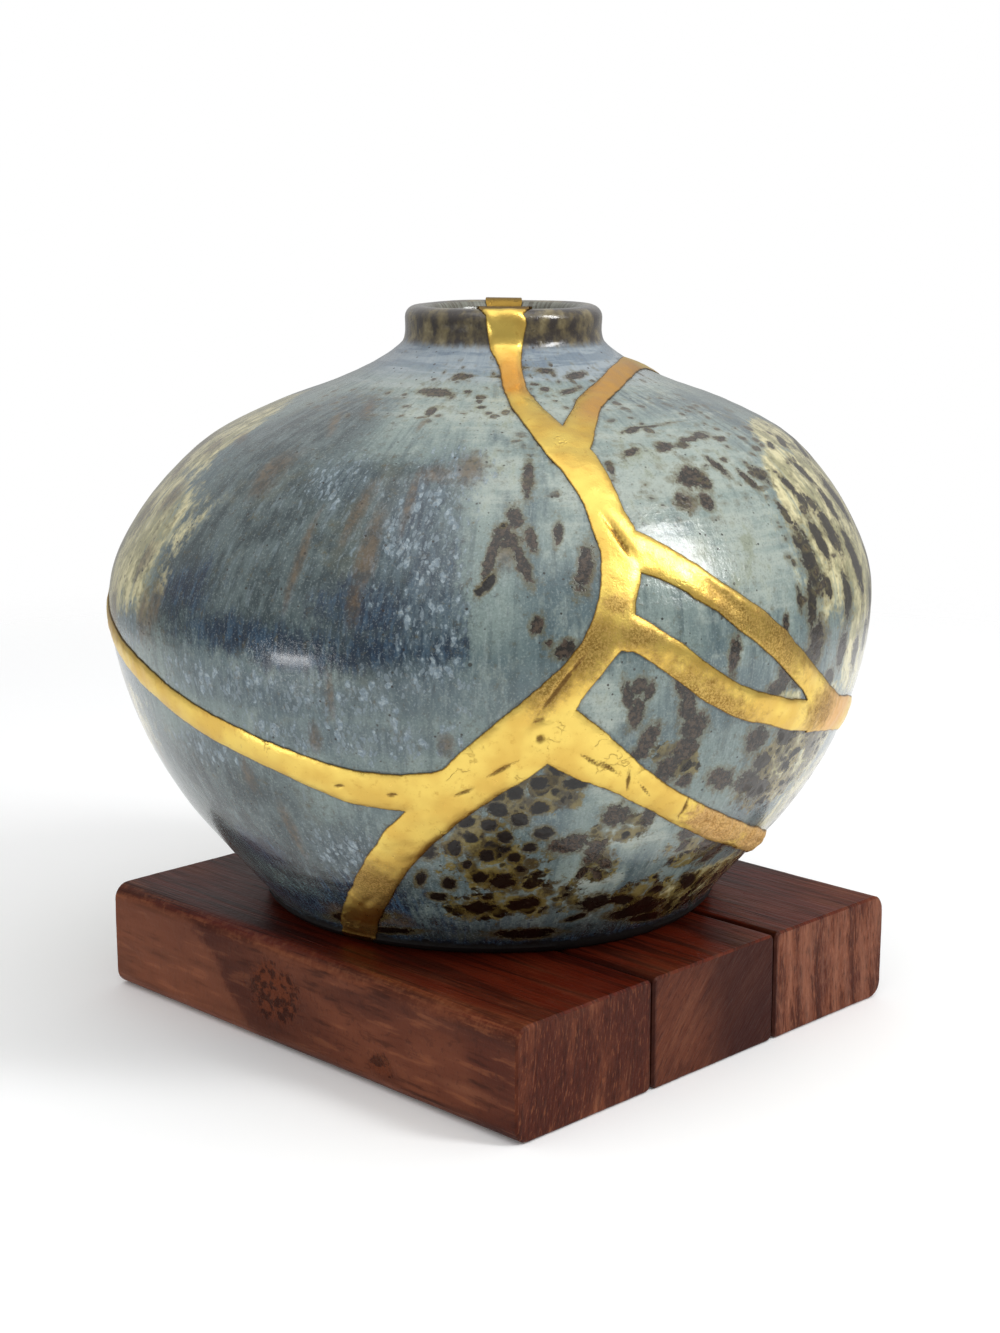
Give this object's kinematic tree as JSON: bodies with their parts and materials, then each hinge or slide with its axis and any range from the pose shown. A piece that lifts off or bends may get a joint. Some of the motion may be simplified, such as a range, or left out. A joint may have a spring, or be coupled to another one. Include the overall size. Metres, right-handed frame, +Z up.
{
  "type": "vase",
  "caption": "Round thrown stoneware vase with a short collar, broken and mended with gold lacquer seams, standing on a low square block of glued hardwood planks",
  "frame": {"origin": "under the vase's axis, on the underside of the wooden block, which is the middle of the whole part's box", "axes": "+Z up through the vase; +Y along the planks; +X across the planks. The main view of the seams looks along +X and +Y, from the block's front corner."},
  "size_m": [0.16, 0.161, 0.1485],
  "materials": {
    "glaze": "satin blue-grey stoneware glaze, mottled slate blue with olive and brown spots",
    "gold": "bright satin gold over lacquer, slightly raised",
    "wood": "oiled red-brown hardwood"
  },
  "bodies": {
    "root": {"shard_left_shoulder": "glaze", "shard_back_neck": "glaze", "shard_right_shoulder": "glaze", "shard_lens": "glaze", "shard_right_flank": "glaze", "shard_foot_front": "glaze", "shard_left_flank": "glaze", "gold_seams": "gold", "plank_left": "wood", "plank_middle": "wood", "plank_right": "wood"}
  },
  "joints": []
}
